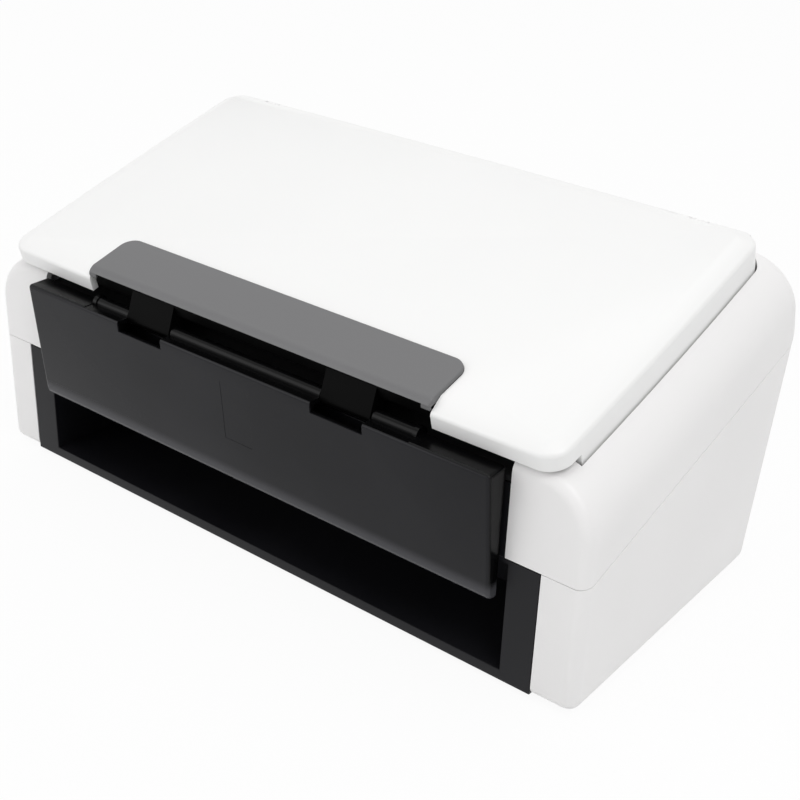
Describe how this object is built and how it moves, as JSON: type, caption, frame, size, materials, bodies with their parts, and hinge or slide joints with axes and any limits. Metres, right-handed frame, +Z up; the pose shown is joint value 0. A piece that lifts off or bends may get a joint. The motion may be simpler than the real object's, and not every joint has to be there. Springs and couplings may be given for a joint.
{
  "type": "document scanner",
  "caption": "Sheet-fed desktop document scanner with a sloped hinged cover, a hanging exit flap and an output bay.",
  "frame": {"origin": "middle of the footprint on the desk, at the underside of the feet", "axes": "+X to the right seen from the front, +Y from the front to the rear, +Z up"},
  "size_m": [0.3, 0.1615, 0.1386],
  "materials": {
    "white_shell": "satin",
    "black_frame": "matt",
    "flap_grey": "satin",
    "grip_grey": "satin",
    "sheet_steel": "brushed",
    "shaft_steel": "polished",
    "bush_brass": "satin",
    "roller_rubber": "matt",
    "idler_plastic": "satin",
    "sensor_black": "matt",
    "sensor_glass": "polished",
    "motor_steel": "satin",
    "pulley_plastic": "satin",
    "belt_rubber": "matt",
    "board_green": "satin",
    "socket_black": "satin",
    "socket_steel": "satin",
    "button_grey": "satin",
    "foot_rubber": "matt"
  },
  "bodies": {
    "housing": {"base_shell": "white_shell", "upper_shell": "white_shell", "front_frame": "black_frame", "deck_frame": "black_frame", "hatch": "black_frame", "lower_guide": "black_frame", "side_frame_left": "sheet_steel", "side_frame_right": "sheet_steel", "shaft_bushes": "bush_brass", "scan_bar_rear": "sensor_black", "scan_bar_front": "sensor_black", "scan_glass_rear": "sensor_glass", "scan_glass_front": "sensor_glass", "motor": "motor_steel", "drive_belt": "belt_rubber", "main_board": "board_green", "power_jack": "socket_black", "usb_port": "socket_steel", "feet": "foot_rubber", "chassis_screws": "shaft_steel", "hinge_posts": "black_frame", "hinge_pins": "shaft_steel"},
    "cover": {"lid": "white_shell", "lid_liner": "black_frame", "lid_grip": "grip_grey", "flap_bracket": "black_frame", "flap_pins": "shaft_steel"},
    "exit_flap": {"flap": "flap_grey"},
    "right_guide": {"guide_right": "black_frame"},
    "left_guide": {"guide_left": "black_frame"},
    "pinion": {"guide_pinion": "idler_plastic"},
    "button": {"power_button": "button_grey"},
    "feed_set": {"feed_shaft": "shaft_steel", "feed_rollers": "roller_rubber", "feed_pulley": "pulley_plastic"},
    "pick_set": {"pick_shaft": "shaft_steel", "pick_rollers": "roller_rubber", "pick_pulley": "pulley_plastic"},
    "exit_set": {"exit_shaft": "shaft_steel", "exit_rollers": "roller_rubber", "exit_pulley": "pulley_plastic"},
    "rotor": {"motor_shaft": "shaft_steel", "motor_pulley": "pulley_plastic"},
    "separation_set": {"separation_shaft": "shaft_steel", "separation_rollers": "roller_rubber"},
    "feed_idler_set": {"feed_idler_shaft": "shaft_steel", "feed_idlers": "idler_plastic"},
    "exit_idler_set": {"exit_idler_shaft": "shaft_steel", "exit_idlers": "idler_plastic"}
  },
  "joints": [
    {"name": "lid_hinge", "type": "hinge", "parent": "housing", "child": "cover", "pos_m": [0, 0.0608, 0.1327], "axis": [-1, 0, 0], "range_deg": [0, 120]},
    {"name": "flap_hinge", "type": "hinge", "parent": "cover", "child": "exit_flap", "pos_m": [0, -0.07265, 0.0894], "axis": [-1, 0, 0], "range_deg": [0, 80]},
    {"name": "guide_right_slide", "type": "slide", "parent": "cover", "child": "right_guide", "axis": [-1, 0, 0], "range_m": [0, 0.078]},
    {"name": "guide_left_slide", "type": "slide", "parent": "cover", "child": "left_guide", "axis": [1, 0, 0], "range_m": [0, 0.078]},
    {"name": "guide_pinion_turn", "type": "hinge", "parent": "cover", "child": "pinion", "pos_m": [0, 0.03533, 0.12721], "axis": [0, 0.2706, -0.9627], "range_deg": [0, 640]},
    {"name": "power_button_press", "type": "slide", "parent": "housing", "child": "button", "axis": [0, 0.2706, -0.9627], "range_m": [0, 0.0008], "stiffness_N_per_m": 300},
    {"name": "feed_turn", "type": "hinge", "parent": "housing", "child": "feed_set", "pos_m": [0, 0.02269, 0.07356], "axis": [1, 0, 0], "continuous": true},
    {"name": "pick_turn", "type": "hinge", "parent": "housing", "child": "pick_set", "pos_m": [0, 0.03741, 0.08813], "axis": [1, 0, 0], "continuous": true},
    {"name": "exit_turn", "type": "hinge", "parent": "housing", "child": "exit_set", "pos_m": [0, -0.00348, 0.03881], "axis": [1, 0, 0], "continuous": true},
    {"name": "motor_turn", "type": "hinge", "parent": "housing", "child": "rotor", "pos_m": [0, 0.02795, 0.027], "axis": [1, 0, 0], "continuous": true},
    {"name": "feed_idler_turn", "type": "hinge", "parent": "housing", "child": "feed_idler_set", "pos_m": [0, 0.01206, 0.08156], "axis": [1, 0, 0], "continuous": true},
    {"name": "exit_idler_turn", "type": "hinge", "parent": "housing", "child": "exit_idler_set", "pos_m": [0, -0.01411, 0.04681], "axis": [1, 0, 0], "continuous": true},
    {"name": "separation_turn", "type": "hinge", "parent": "housing", "child": "separation_set", "pos_m": [0, 0.02279, 0.09914], "axis": [1, 0, 0], "continuous": true}
  ],
  "couplings": [
    {"joint": "guide_left_slide", "follows": "guide_right_slide", "ratio": 1},
    {"joint": "guide_pinion_turn", "follows": "guide_right_slide", "rad_per_m": 142.86},
    {"joint": "pick_turn", "follows": "feed_turn", "ratio": 0.79592},
    {"joint": "exit_turn", "follows": "feed_turn", "ratio": 1},
    {"joint": "motor_turn", "follows": "feed_turn", "ratio": 1.3448},
    {"joint": "feed_idler_turn", "follows": "feed_turn", "ratio": -1.1667},
    {"joint": "exit_idler_turn", "follows": "feed_turn", "ratio": -1.1667}
  ]
}
